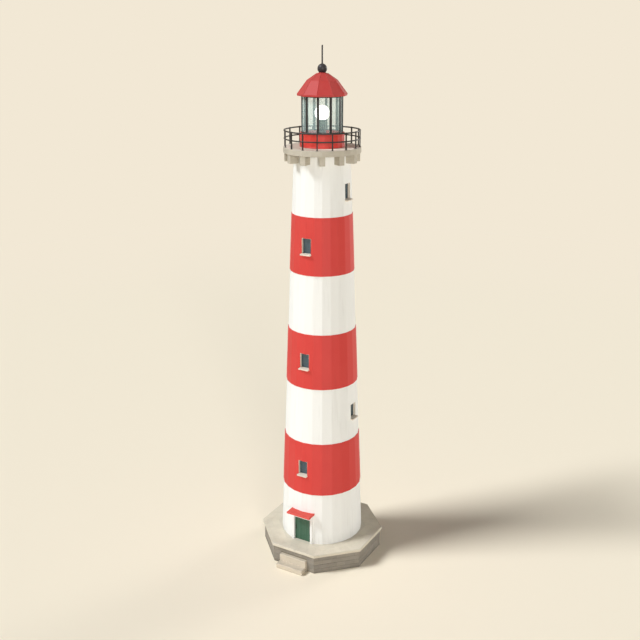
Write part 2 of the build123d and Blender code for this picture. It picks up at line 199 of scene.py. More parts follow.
# ------------------------------------------------------------------ finishes
@dataclass(frozen=True)
class Finish:
    """What every finish has: its name, its slot in the record, its sRGB colour and its roughness."""

    name: str
    slot: str
    colour: str
    roughness: float

    @cache
    def material(self) -> bpy.types.Material:
        """Make the material once and hand out the same one.

        Returns:
            The material.
        """
        made = bpy.data.materials.new(self.name)
        made.use_nodes = True
        made.diffuse_color = linear(self.colour)
        made.node_tree.nodes.clear()
        add = partial(add_node, made.node_tree)
        place = add("ShaderNodeTexCoord").outputs["Object"]
        add("ShaderNodeOutputMaterial", Surface=self.surface(add, place))
        return made

    def surface(self, add: Adder, place: Socket) -> Node:
        """Make the shader, from what adds a node and from the object's coordinates in metres."""
        raise NotImplementedError

    def dress(self, *names: str) -> None:
        """Give this finish to CAD nodes.

        Args:
            *names: Names of the nodes.
        """
        for name in names:
            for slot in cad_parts[name].material_slots:
                slot.material = self.material()
            LOG.info("%s: %s", name, self.name)

    def hang(self, piece: Piece, body: str = TOWER) -> Piece:
        """Hang a piece of this finish on its body and log it.

        Args:
            piece: The piece, at the origin.
            body: CAD body that it moves with.

        Returns:
            The same piece.
        """
        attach(piece, body)
        LOG.info("%s: %d faces on %s", piece.name, len(piece.data.polygons), body)
        return piece


@dataclass(frozen=True)
class MasonryPaint(Finish):
    """Masonry paint on floated lime render: matt, chalky, softly uneven, with faint rain streaks."""

    faded: str = "#FFFFFF"
    grime: str = "#8A8069"
    patch: float = 1.4              # size of a faded patch
    streak_width: float = 0.22
    streak_strength: float = 0.10
    splash_z: float = 1.66          # foot of the wall, where rain splashes up
    splash_height: float = 0.9
    float_mark: float = 0.30        # sweep of the plasterer's float
    grain: float = 14 * MM          # real sand is 2 mm; drawn coarse enough to show

    def surface(self, add: Adder, place: Socket) -> Node:
        """Faded patches, streaks and splash over the paint, float marks and sand below it.

        Args:
            add: Adds a node to the material.
            place: Object coordinates.

        Returns:
            The shader.
        """
        patches = add("ShaderNodeTexNoise", Vector=place, Scale=1 / self.patch, Detail=4.0, Roughness=0.6)
        fade = add("ShaderNodeMapRange", Value=patches, From_Min=0.42, From_Max=0.75, To_Max=0.16)
        paint = add("ShaderNodeMix", fade, linear(self.colour), linear(self.faded), data_type="RGBA")
        narrow = add("ShaderNodeMapping", Vector=place,
                     Scale=(1 / self.streak_width, 1 / self.streak_width, 0.28))
        streaks = add("ShaderNodeTexNoise", Vector=narrow, Scale=1.0, Detail=3.0)
        run = add("ShaderNodeMapRange", Value=streaks, From_Min=0.55, From_Max=0.8,
                  To_Max=self.streak_strength)
        height = add("ShaderNodeSeparateXYZ", place).outputs["Z"]
        foot = add("ShaderNodeMapRange", Value=height, From_Min=self.splash_z,
                   From_Max=self.splash_z + self.splash_height, To_Min=0.22, To_Max=0.0,
                   interpolation_type="SMOOTHSTEP")
        blotch = add("ShaderNodeMath", foot, streaks, operation="MULTIPLY")
        dirt = add("ShaderNodeMath", blotch, run, operation="ADD", use_clamp=True)
        worn = add("ShaderNodeMix", dirt, paint, linear(self.grime), data_type="RGBA")
        sweeps = add("ShaderNodeTexNoise", Vector=place, Scale=1 / self.float_mark, Detail=2.0,
                     Distortion=0.8)
        sand = add("ShaderNodeTexNoise", Vector=place, Scale=1 / self.grain, Detail=2.0)
        floated = add("ShaderNodeBump", Strength=0.35, Distance=4 * MM, Height=sweeps)
        rough = add("ShaderNodeBump", Strength=0.30, Distance=1 * MM, Height=sand, Normal=floated)
        matt = add("ShaderNodeMapRange", Value=patches, To_Min=self.roughness - 0.08,
                   To_Max=self.roughness + 0.08)
        return add("ShaderNodeBsdfPrincipled", Base_Color=worn, Roughness=matt, IOR=1.45, Normal=rough)


@dataclass(frozen=True)
class Limestone(Finish):
    """Dressed limestone: fine shelly grain, faint level bedding, small pits and weather stains."""

    vein: str = "#8C7F68"
    stain: str = "#6B6455"
    bedding: float = 0.12           # spacing of the beds in the stone
    pit: float = 30 * MM            # real pits are 3 to 8 mm; drawn coarser to show
    damp_height: float = 0.35       # rising damp above the ground
    by_block: bool = False          # blocks carry their own tone
    tones: tuple[float, float] = (0.88, 1.08)       # darkest and palest block
    painted_top_light: str = ""               # colour painted on the faces that look up: painted light that makes the top paler

    def surface(self, add: Adder, place: Socket) -> Node:
        """Bedding and clouds in the stone, stains on it, painted light on the faces that look up where set,
        and a pitted, tooled face.

        Args:
            add: Adds a node to the material.
            place: Object coordinates.

        Returns:
            The shader.
        """
        layered = add("ShaderNodeMapping", Vector=place, Scale=(1.2, 1.2, 1 / self.bedding))
        beds = add("ShaderNodeTexNoise", Vector=layered, Scale=1.0, Detail=5.0, Distortion=0.4)
        veined = add("ShaderNodeMapRange", Value=beds, From_Min=0.45, From_Max=0.75, To_Max=0.30)
        stone = add("ShaderNodeMix", veined, linear(self.colour), linear(self.vein), data_type="RGBA")
        clouds = add("ShaderNodeTexNoise", Vector=place, Scale=1.1, Detail=5.0, Roughness=0.65)
        blot = add("ShaderNodeMapRange", Value=clouds, From_Min=0.5, From_Max=0.8, To_Max=0.28)
        height = add("ShaderNodeSeparateXYZ", place).outputs["Z"]
        damp = add("ShaderNodeMapRange", Value=height, From_Max=self.damp_height, To_Min=0.45, To_Max=0.0,
                   interpolation_type="SMOOTHSTEP")
        dirt = add("ShaderNodeMath", blot, damp, operation="ADD", use_clamp=True)
        colour = add("ShaderNodeMix", dirt, stone, linear(self.stain), data_type="RGBA")
        # Painted light: faces that look up are mixed towards a paler colour, so the top reads lighter.
        if self.painted_top_light:
            facing = add("ShaderNodeTexCoord").outputs["Normal"]
            upward = add("ShaderNodeSeparateXYZ", facing).outputs["Z"]
            top_light_share = add("ShaderNodeMapRange", Value=upward, From_Min=0.7, From_Max=0.95, To_Max=0.9)
            colour = add("ShaderNodeMix", top_light_share, colour, linear(self.painted_top_light), data_type="RGBA")
        if self.by_block:
            tone = add("ShaderNodeAttribute", attribute_name="tone").outputs["Fac"]
            shade = add("ShaderNodeMapRange", Value=tone, To_Min=self.tones[0], To_Max=self.tones[1])
            colour = add("ShaderNodeHueSaturation", Value=shade, Color=colour)
        pits = add("ShaderNodeTexVoronoi", Vector=place, Scale=1 / self.pit)
        holes = add("ShaderNodeMapRange", Value=pits, From_Max=0.28)
        tooled = add("ShaderNodeBump", Strength=0.5, Distance=5 * MM, Height=beds)
        pitted = add("ShaderNodeBump", Strength=0.4, Distance=2 * MM, Height=holes, Normal=tooled)
        return add("ShaderNodeBsdfPrincipled", Base_Color=colour, Roughness=self.roughness, IOR=1.5,
                   Normal=pitted)


@dataclass(frozen=True)
class MetalPaint(Finish):
    """Brushed enamel on iron: satin, slightly rippled, chalked where the weather reaches it."""

    chalk: str = "#FFFFFF"
    chalk_strength: float = 0.12
    rust: str = "#5A3322"
    rust_strength: float = 0.10
    ripple: float = 60 * MM         # brush ripples; real ones are 5 mm, drawn coarser to show

    def surface(self, add: Adder, place: Socket) -> Node:
        """Chalked patches and a breath of rust in the paint, and brush ripples on it.

        Args:
            add: Adds a node to the material.
            place: Object coordinates.

        Returns:
            The shader.
        """
        patches = add("ShaderNodeTexNoise", Vector=place, Scale=2.2, Detail=4.0, Roughness=0.6)
        chalked = add("ShaderNodeMapRange", Value=patches, From_Min=0.4, From_Max=0.75,
                      To_Max=self.chalk_strength)
        paint = add("ShaderNodeMix", chalked, linear(self.colour), linear(self.chalk), data_type="RGBA")
        spots = add("ShaderNodeTexNoise", Vector=place, Scale=6.0, Detail=6.0, Roughness=0.7)
        rusted = add("ShaderNodeMapRange", Value=spots, From_Min=0.58, From_Max=0.75,
                     To_Max=self.rust_strength)
        worn = add("ShaderNodeMix", rusted, paint, linear(self.rust), data_type="RGBA")
        gloss = add("ShaderNodeMapRange", Value=patches, To_Min=self.roughness - 0.07,
                    To_Max=self.roughness + 0.10)
        brushed = add("ShaderNodeTexNoise", Vector=place, Scale=1 / self.ripple, Detail=2.0)
        uneven = add("ShaderNodeBump", Strength=0.25, Distance=1 * MM, Height=brushed)
        return add("ShaderNodeBsdfPrincipled", Base_Color=worn, Roughness=gloss, IOR=1.45, Normal=uneven)


@dataclass(frozen=True)
class BoardPaint(Finish):
    """Oil paint on softwood boards: the grain stands up a little under the paint."""

    faded: str = "#6F8A76"
    grain_width: float = 9 * MM     # real growth rings are 3 mm; drawn coarser to show
    grain_length: float = 0.6

    def surface(self, add: Adder, place: Socket) -> Node:
        """Upright grain in the gloss and relief, and fading from board to board.

        Args:
            add: Adds a node to the material.
            place: Object coordinates.

        Returns:
            The shader.
        """
        along = add("ShaderNodeMapping", Vector=place,
                    Scale=(1 / self.grain_width, 1 / self.grain_width, 1 / self.grain_length))
        grain = add("ShaderNodeTexNoise", Vector=along, Scale=1.0, Detail=4.0, Distortion=0.6)
        patches = add("ShaderNodeTexNoise", Vector=place, Scale=2.5, Detail=3.0)
        tone = add("ShaderNodeAttribute", attribute_name="tone").outputs["Fac"]
        both = add("ShaderNodeMath", tone, patches, operation="ADD")
        fade = add("ShaderNodeMapRange", Value=both, From_Min=0.4, From_Max=1.6, To_Max=0.30)
        paint = add("ShaderNodeMix", fade, linear(self.colour), linear(self.faded), data_type="RGBA")
        relief = add("ShaderNodeBump", Strength=0.4, Distance=1 * MM, Height=grain)
        gloss = add("ShaderNodeMapRange", Value=grain, To_Min=self.roughness - 0.08,
                    To_Max=self.roughness + 0.12)
        return add("ShaderNodeBsdfPrincipled", Base_Color=paint, Roughness=gloss, IOR=1.5, Normal=relief)


@dataclass(frozen=True)
class PaneGlass(Finish):
    """Drawn sheet glass: smooth, a little wavy, with salt bloom that catches the light."""

    opacity: float = 1.0
    bloom: str = "#FFFFFF"
    wave: float = 0.35              # ripple of drawn glass

    def surface(self, add: Adder, place: Socket) -> Node:
        """Tinted, partly clear glass with a soft ripple.

        Args:
            add: Adds a node to the material.
            place: Object coordinates.

        Returns:
            The shader.
        """
        salt = add("ShaderNodeTexNoise", Vector=place, Scale=1.3, Detail=1.0)
        bloomed = add("ShaderNodeMapRange", Value=salt, From_Min=0.45, From_Max=0.8, To_Max=0.15)
        tint = add("ShaderNodeMix", bloomed, linear(self.colour), linear(self.bloom), data_type="RGBA")
        waves = add("ShaderNodeTexNoise", Vector=place, Scale=1 / self.wave, Detail=1.0)
        drawn = add("ShaderNodeBump", Strength=0.1, Distance=2 * MM, Height=waves)
        return add("ShaderNodeBsdfPrincipled", Base_Color=tint, Roughness=self.roughness, IOR=1.52,
                   Alpha=self.opacity, Normal=drawn)


@dataclass(frozen=True)
class OpalGlass(Finish):
    """Opal glass over a burning lamp: an even white glow, a shade warmer in soft clouds."""

    warm: str = "#FFFDF2"
    glow: float = 2.4

    def surface(self, add: Adder, place: Socket) -> Node:
        """Milk-white glass that gives light.

        Args:
            add: Adds a node to the material.
            place: Object coordinates.

        Returns:
            The shader.
        """
        cloud = add("ShaderNodeTexNoise", Vector=place, Scale=2.0, Detail=2.0)
        milk = add("ShaderNodeMix", cloud, linear(self.colour), linear(self.warm), data_type="RGBA")
        return add("ShaderNodeBsdfPrincipled", Base_Color=milk, Roughness=self.roughness, IOR=1.5,
                   Emission_Color=milk, Emission_Strength=self.glow)


# Matt and chalky, so the light falls off softly round the wall.
WHITE_RENDER = MasonryPaint("white masonry paint on lime render", "white_render", "#EBEAE5", 0.80,
                            faded="#EFEEE9")
# A harder paint film: the red keeps a slight sheen and bleaches towards orange.
RED_RENDER = MasonryPaint("red masonry paint on lime render", "red_render", "#CA3A34", 0.62,
                          faded="#D7554B", grime="#7A3A30", streak_strength=0.08)
# Rough-dressed blocks, each with its own tone, darker where damp rises.
PLINTH_STONE = Limestone("grey-brown dressed limestone", "plinth_stone", "#8C857A", 0.82, by_block=True)
# The dull bed that shows as dark joints between the blocks.
BED_STONE = Limestone("limestone bed behind the joints", "plinth_stone", "#7C7464", 0.9)
# Pale stone, smoother than the blocks, with soft stains.
CAP_STONE = Limestone("pale dressed limestone", "plinth_stone", "#D2C9B6", 0.8, vein="#B5A88F",
                      stain="#9A8F7B")
# Slabs swept clean by the weather; their tones differ only a little.
PAVING_STONE = Limestone("pale limestone paving", "plinth_stone", "#DAD0BB", 0.78, vein="#C3B69C",
                         stain="#B0A48C", by_block=True, tones=(0.97, 1.03))
# Rubbed smoother and paler by feet.
STEP_STONE = Limestone("worn limestone steps", "step_stone", "#CABEAA", 0.74, vein="#A89C87",
                       stain="#948974", damp_height=0.12)
# Weathered grey on the edge and the corbels, with painted light making the top paler.
GALLERY_STONE = Limestone("weathered gallery limestone", "gallery_stone", "#BAB2A2", 0.82, vein="#9F9581",
                          stain="#887F6E", painted_top_light="#E6DBC8")
# Fine pale stone that frames the dark windows.
LINING_STONE = Limestone("pale limestone linings", "lining_stone", "#DFD3C2", 0.8, vein="#D0C4B1",
                         stain="#B8AC9A")
# Satin red over rolled plate, chalked towards pink.
DRUM_ENAMEL = MetalPaint("red enamel on the drum's iron plate", "red_paint", "#D03A30", 0.46,
                         chalk="#E0685C", rust="#8A2A20")
# The same red, duller where the sun has burnt the roof.
ROOF_ENAMEL = MetalPaint("red enamel on the roof plates", "red_paint", "#B33531", 0.60, chalk="#C9665F",
                         rust="#7A2A22")
# A fresher coat, brighter than the wall behind it.
HOOD_PAINT = MetalPaint("red enamel on the entrance hood", "red_paint", "#D4473B", 0.50, chalk="#E58A80",
                        rust="#8A3A2E")
# Near black with a satin edge, so thin bars read as lines.
BLACK_IRON = MetalPaint("black paint on wrought iron", "black_iron", "#221F1D", 0.42, chalk="#504B47")
# A little softer in its shine, which spreads the light over the ball.
BALL_IRON = MetalPaint("black paint on spun copper", "black_iron", "#201B21", 0.50, chalk="#4A454A")
# Dark grey under the glowing globe.
GREY_ENAMEL = MetalPaint("grey enamel on cast iron", "grey_paint", "#1C282B", 0.50, chalk="#3C4849")
# Deep green with the grain of the boards in its gloss.
GREEN_PAINT = BoardPaint("green oil paint on boards", "green_paint", "#2B553F", 0.48)
# Dark blue-grey that sinks back beside the pale linings.
SASH_PAINT = BoardPaint("dark oil paint on sashes", "sash_paint", "#3C4A50", 0.45, faded="#56646A")
# Closed and dark, as a pane looks with an unlit room behind it.
WINDOW_GLASS = PaneGlass("dark window glass", "window_glass", "#42545D", 0.10, bloom="#65757C")
# Clear, with a pale green body that shows where panes stand behind one another.
STORM_GLASS = PaneGlass("pale green storm glass", "lantern_glass", "#D8F5F1", 0.12, opacity=0.19,
                        bloom="#DFF7F5")
# Even white light with no shade on it.
OPAL = OpalGlass("lit opal glass", "lamp_glass", "#FFFFFA", 0.3)


# ------------------------------------------------------------------ geometry trees
@dataclass
class GeometryTree:
    """A Geometry Nodes tree with named inputs, baked to a plain mesh."""

    name: ClassVar[str]
    inputs: ClassVar[dict[str, str]]        # socket type of each named input
    tree: bpy.types.NodeTree = field(init=False)
    add: Adder = field(init=False)
    keys: dict[str, str] = field(init=False, default_factory=dict)
    wanted: bpy.types.NodeOutputs = field(init=False)

    def __post_init__(self) -> None:
        """Make the tree's sockets and nodes."""
        self.tree = bpy.data.node_groups.new(self.name, "GeometryNodeTree")
        self.add = partial(add_node, self.tree)
        face = self.tree.interface
        face.new_socket(name="Geometry", in_out="INPUT", socket_type="NodeSocketGeometry")
        for label, kind in (self.inputs | {"Material": "Material"}).items():
            socket = face.new_socket(name=label, in_out="INPUT", socket_type="NodeSocket" + kind)
            self.keys[label] = socket.identifier
        face.new_socket(name="Geometry", in_out="OUTPUT", socket_type="NodeSocketGeometry")
        self.wanted = self.add("NodeGroupInput").outputs
        real = self.add("GeometryNodeRealizeInstances", self.build())
        done = self.add("GeometryNodeSetMaterial", Geometry=real, Material=self.wanted["Material"])
        self.add("NodeGroupOutput", done)

    @classmethod
    @cache
    def shared(cls) -> "GeometryTree":
        """The one tree of this class, made when it is first wanted."""
        return cls()

    def build(self) -> Node:
        """Make the nodes between the input and Realize Instances."""
        raise NotImplementedError

    def bake(self, name: str, mesh: bpy.types.Mesh, finish: Finish, body: str, **values: float) -> Piece:
        """Run the tree on a mesh and hang the result, as a plain mesh, on a CAD body.

        Args:
            name: Name of the finished piece.
            mesh: Mesh that the tree works from.
            finish: Finish of the piece.
            body: CAD body that the piece moves with.
            **values: Value of each named input, with underscores for spaces.

        Returns:
            The piece.
        """
        guide = new_object(name + ".guide", mesh)
        modifier = guide.modifiers.new("shape", "NODES")
        modifier.node_group = self.tree
        modifier[self.keys["Material"]] = finish.material()
        for label, value in values.items():
            modifier[self.keys[label.replace("_", " ")]] = value
        graph = bpy.context.evaluated_depsgraph_get()
        baked = bpy.data.meshes.new_from_object(guide.evaluated_get(graph), preserve_all_data_layers=True,
                                                depsgraph=graph)
        guide.modifiers.remove(modifier)
        bpy.data.objects.remove(guide)
        baked.name = name
        return finish.hang(new_object(name, baked), body)


class StudTree(GeometryTree):
    """Rivet or bolt heads at an even pitch along guide lines."""

    name = "heads at a pitch"
    inputs = {"Pitch": "Float", "Radius": "Float", "Height": "Float", "Sides": "Int", "Domed": "Bool"}
    lift = 0.45         # a bolt head's middle above the face, as a share of its height
    rings = 4           # of a domed head

    def build(self) -> Node:
        """Heads on the points of each line, turned to the line's facing.

        Returns:
            The node that sets the heads.
        """
        add, wanted = self.add, self.wanted
        curve = add("GeometryNodeMeshToCurve", wanted["Geometry"])
        points = add("GeometryNodeCurveToPoints", curve, Length=wanted["Pitch"], mode="LENGTH")
        bolt = add("GeometryNodeMeshCylinder", Vertices=wanted["Sides"], Radius=wanted["Radius"],
                   Depth=wanted["Height"])
        half = add("ShaderNodeMath", wanted["Height"], self.lift, operation="MULTIPLY")
        lift = add("ShaderNodeCombineXYZ", Z=half)
        bolt = add("GeometryNodeTransform", bolt, Translation=lift)
        ball = add("GeometryNodeMeshUVSphere", Segments=wanted["Sides"], Rings=self.rings,
                   Radius=wanted["Radius"])
        flat = add("ShaderNodeMath", wanted["Height"], wanted["Radius"], operation="DIVIDE")
        squash = add("ShaderNodeCombineXYZ", 1.0, 1.0, flat)
        ball = add("GeometryNodeTransform", ball, Scale=squash)
        head = add("GeometryNodeSwitch", wanted["Domed"], bolt, ball, input_type="GEOMETRY")
        facing = add("GeometryNodeInputNamedAttribute", Name="facing", data_type="FLOAT_VECTOR")
        turn = add("FunctionNodeAlignRotationToVector", Vector=facing, axis="Z")
        return add("GeometryNodeInstanceOnPoints", points, Instance=head, Rotation=turn)


class BarTree(GeometryTree):
    """A round or flat bar along guide lines."""

    name = "bars along lines"
    inputs = {"Width": "Float", "Thickness": "Float", "Sides": "Int", "Round": "Bool"}

    def build(self) -> Node:
        """The section carried along each line, flat side to the line's facing.

        Returns:
            The node that makes the bars.
        """
        add, wanted = self.add, self.wanted
        facing = add("GeometryNodeInputNamedAttribute", Name="facing", data_type="FLOAT_VECTOR")
        curve = add("GeometryNodeMeshToCurve", wanted["Geometry"])
        curve = add("GeometryNodeSetCurveNormal", curve, Normal=facing, mode="FREE")
        radius = add("ShaderNodeMath", wanted["Width"], 0.5, operation="MULTIPLY")
        circle = add("GeometryNodeCurvePrimitiveCircle", Resolution=wanted["Sides"], Radius=radius)
        flat = add("GeometryNodeCurvePrimitiveQuadrilateral", wanted["Thickness"], wanted["Width"])
        section = add("GeometryNodeSwitch", wanted["Round"], flat, circle, input_type="GEOMETRY")
        return add("GeometryNodeCurveToMesh", curve, section, Fill_Caps=True)


class BlockTree(GeometryTree):
    """Blocks or boards raised from flat outlines, each with worn edges and its own tone."""

    name = "raised blocks"
    inputs = {"Proud": "Float", "Edge": "Float", "Face Share": "Float", "Seed": "Int"}
    weld = 0.2 * MM     # points closer than this are one

    def build(self) -> Node:
        """Two extrusions of every face, closed at the back.

        Returns:
            The node that closes the blocks.
        """
        add, wanted = self.add, self.wanted
        tone = add("FunctionNodeRandomValue", Seed=wanted["Seed"], data_type="FLOAT")
        toned = add("GeometryNodeStoreNamedAttribute", wanted["Geometry"], Name="tone", Value=tone,
                    data_type="FLOAT", domain="FACE")
        side = add("ShaderNodeMath", wanted["Proud"], wanted["Edge"], operation="SUBTRACT")
        first = add("GeometryNodeExtrudeMesh", toned, Offset_Scale=side, Individual=True, mode="FACES")
        second = add("GeometryNodeExtrudeMesh", first, Selection=first.outputs["Top"],
                     Offset_Scale=wanted["Edge"], Individual=True, mode="FACES")
        eased = add("GeometryNodeScaleElements", second, Selection=second.outputs["Top"],
                    Scale=wanted["Face Share"], domain="FACE")
        back = add("GeometryNodeFlipFaces", toned)
        both = add("GeometryNodeJoinGeometry", eased)
        self.tree.links.new(back.outputs[0], both.inputs[0])
        return add("GeometryNodeMergeByDistance", both, Distance=self.weld)


def guide_lines(name: str, lines: Iterable[Line]) -> bpy.types.Mesh:
    """Mesh of edges for a tree that follows lines.

    Args:
        name: Name of the mesh.
        lines: Guide lines with their facing.

    Returns:
        A mesh of edges with the facing on its points.
    """
    points, edges, facings = [], [], []
    for line, facing in lines:
        start = len(points)
        points += [tuple(p) for p in line]
        edges += [(start + k, start + k + 1) for k in range(len(line) - 1)]
        facings += [facing] * len(line) if isinstance(facing, Vector) else list(facing)
    mesh = bpy.data.meshes.new(name)
    mesh.from_pydata(points, edges, [])
    store = mesh.attributes.new("facing", "FLOAT_VECTOR", "POINT")
    store.data.foreach_set("vector", [part for f in facings for part in f])
    return mesh


def guide_faces(name: str, faces: Iterable[Face]) -> bpy.types.Mesh:
    """Mesh of separate flat outlines for a tree that raises blocks.

    Args:
        name: Name of the mesh.
        faces: Outlines, each with the direction that it looks in.

    Returns:
        A mesh of separate faces.
    """
    points, loops = [], []
    for outline, facing in faces:
        a, b, c = outline[:3]
        order = list(outline) if (b - a).cross(c - b).dot(facing) > 0 else list(outline)[::-1]
        loops.append(tuple(range(len(points), len(points) + len(order))))
        points += [tuple(p) for p in order]
    mesh = bpy.data.meshes.new(name)
    mesh.from_pydata(points, [], loops)
    return mesh


def lathe(name: str, profile: Profile, sides: int, finish: Finish, crease: float = 40.0) -> Piece:
    """Turn a profile round the tower's axis into one closed solid, and hang it on the tower.

    Args:
        name: Name of the piece.
        profile: Radius and height of each point; a radius of zero is a pole.
        sides: Number of steps round the axis.
        finish: Finish of the piece.
        crease: Angle in degrees over which an edge stays sharp.

    Returns:
        The turned piece.
    """
    work = bmesh.new()
    rings = []
    for radius, z in profile:
        steps = range(sides if radius else 1)
        rings.append([work.verts.new(polar(radius, 360 * k / sides, z)) for k in steps])
    pairs = list(zip(rings, rings[1:]))
    if len(rings[0]) > 1 or len(rings[-1]) > 1:
        pairs.append((rings[-1], rings[0]))
    for low, high in pairs:
        for k in range(sides):
            corners = [ring[m % len(ring)] for ring, m in
                       ((low, k), (low, (k + 1) % sides), (high, (k + 1) % sides), (high, k))]
            corners = list(dict.fromkeys(corners))
            if len(corners) > 2:
                work.faces.new(corners)
    bmesh.ops.recalc_face_normals(work, faces=work.faces)
    mesh = bpy.data.meshes.new(name)
    work.to_mesh(mesh)
    work.free()
    mesh.polygons.foreach_set("use_smooth", [True] * len(mesh.polygons))
    mesh.set_sharp_from_angle(angle=math.radians(crease))
    mesh.materials.append(finish.material())
    return finish.hang(new_object(name, mesh))


class Head(Enum):
    """Fastener heads, as sides and whether domed."""

    RIVET = (8, True)
    HEX_BOLT = (6, False)
    NAIL = (6, True)


@dataclass(frozen=True)
class Fastener:
    """A row of fasteners: head, size and spacing."""

    head: Head
    radius: float
    height: float
    pitch: float = 1.0

    def along(self, name: str, lines: Iterable[Line], finish: Finish, body: str = TOWER) -> None:
        """Set heads along lines, as one piece.

        Args:
            name: Name of the piece.
            lines: Guide lines with their facing.
            finish: Finish of the heads.
            body: CAD body that the piece moves with.
        """
        sides, domed = self.head.value
        piece = StudTree.shared().bake(name, guide_lines(name, lines), finish, body, Pitch=self.pitch,
                                       Radius=self.radius, Height=self.height, Sides=sides, Domed=domed)
        piece.data.polygons.foreach_set("use_smooth", [domed] * len(piece.data.polygons))


@dataclass(frozen=True)
class Bar:
    """A bar's width or diameter, its thickness, and its number of sides, nought for a flat one."""

    width: float
    thickness: float = 0.0
    sides: int = 0

    def run(self, name: str, lines: Iterable[Line], finish: Finish) -> None:
        """Run bars along guide lines, as one piece that stays with the tower."""
        BarTree.shared().bake(name, guide_lines(name, lines), finish, TOWER, Width=self.width,
                              Thickness=self.thickness, Sides=max(self.sides, 3), Round=self.sides > 0)


@dataclass(frozen=True)
class Block:
    """How far a block stands out, its worn edge, the share its face keeps, and the tones' seed."""

    proud: float
    edge: float
    share: float
    seed: int

    def lay(self, name: str, faces: Iterable[Face], finish: Finish, body: str = TOWER) -> None:
        """Raise a block on every outline, as one piece that moves with a CAD body."""
        BlockTree.shared().bake(name, guide_faces(name, faces), finish, body, Proud=self.proud,
                                Edge=self.edge, Face_Share=self.share, Seed=self.seed)


# ------------------------------------------------------------------ sub-assemblies
@dataclass
class StoneBase:
    """Octagonal plinth faced with coursed blocks, its paving, and the steps."""

    sides: int = 8
    courses: int = 4
    blocks_in_course: int = 5
    joint: float = 12 * MM
    block: Block = Block(22 * MM, 7 * MM, 1.0, 4)
    shortest: float = 0.08          # a shorter piece of block is left out
    slab: Block = Block(7 * MM, 3 * MM, 0.99, 9)
    slabs: tuple[int, int] = (4, 5)         # on one side, round the tower and at the rim
    rim: float = 0.06               # cap edge left outside the paving
    wall_gap: float = 0.09          # paving to the tower's foot

    def build(self) -> None:
        """Make the facing and the paving, then dress the CAD stones."""
        self.facing()
        self.paving()
        BED_STONE.dress("plinth_body")
        CAP_STONE.dress("plinth_cap")
        STEP_STONE.dress("lower_step", "upper_step")

    def facing(self) -> None:
        """Coursed blocks on the eight faces, broken behind the steps."""
        low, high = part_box("plinth_body")
        across = high.x
        run = 2 * across * math.tan(math.pi / self.sides)
        rise = (high.z - low.z) / self.courses
        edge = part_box("lower_step")[1].x + self.joint
        faces = []
        for side in range(self.sides):
            out, along = radial(side * 360 / self.sides)
            for course in range(self.courses):
                z0 = low.z + course * rise + self.joint / 2
                z1 = z0 + rise - self.joint
                behind = out.y < -0.99 and z0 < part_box("upper_step")[1].z
                for u0, u1 in self.spans(run, course):
                    parts = [(u0, min(u1, -edge)), (max(u0, edge), u1)] if behind else [(u0, u1)]
                    for a, b in parts:
                        if b - a > self.shortest:
                            corners = ((a, z0), (b, z0), (b, z1), (a, z1))
                            faces.append(([out * across + along * s + UP * z for s, z in corners], out))
        worn = replace(self.block, share=1 - 2 * self.block.edge / rise)
        worn.lay("plinth_facing", faces, PLINTH_STONE)

    def spans(self, run: float, course: int) -> list[tuple[float, float]]:
        """Ends of the blocks in one course, broken half a block on every second one.

        Args:
            run: Length of the face.
            course: Number of the course from the ground.

        Returns:
            Start and end of each block along the face.
        """
        size = run / self.blocks_in_course
        shift = 0.5 if course % 2 else 0.0
        marks = [-run / 2] + [-run / 2 + size * (k + 1 - shift) for k in range(self.blocks_in_course)]
        marks += [run / 2] if shift else []
        gap = self.joint / 2
        return [(a + gap, b - gap) for a, b in zip(marks, marks[1:])]

    def paving(self) -> None:
        """Two rings of slabs from the tower's foot to the cap's edge."""
        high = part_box("plinth_cap")[1]
        outer = high.x - self.rim
        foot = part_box("white_band_1_right")[1].x + self.wall_gap
        middle = (foot + outer) / 2
        gap = self.joint / 2
        faces = []
        for side in range(self.sides):
            out, along = radial(side * 360 / self.sides)
            for near, far, count in ((foot, middle, self.slabs[0]), (middle, outer, self.slabs[1])):
                for k in range(count):
                    s0, s1 = (math.tan(math.pi / self.sides) * (2 * m / count - 1) for m in (k, k + 1))
                    corners = ((near + gap, s0, gap), (far - gap, s0, gap), (far - gap, s1, -gap),
                               (near + gap, s1, -gap))
                    faces.append(([out * depth + along * (depth * share + inset) + UP * high.z
                                   for depth, share, inset in corners], UP))
        self.slab.lay("plinth_paving", faces, PAVING_STONE)


@dataclass
class Shaft:
    """The banded wall: rendered brick, painted white and red."""

    paints: dict[str, Finish] = field(default_factory=lambda: {"white_band": WHITE_RENDER,
                                                               "red_band": RED_RENDER})

    def build(self) -> None:
        """Dress every band in its paint."""
        for start, paint in self.paints.items():
            paint.dress(*sorted(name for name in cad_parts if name.startswith(start)))


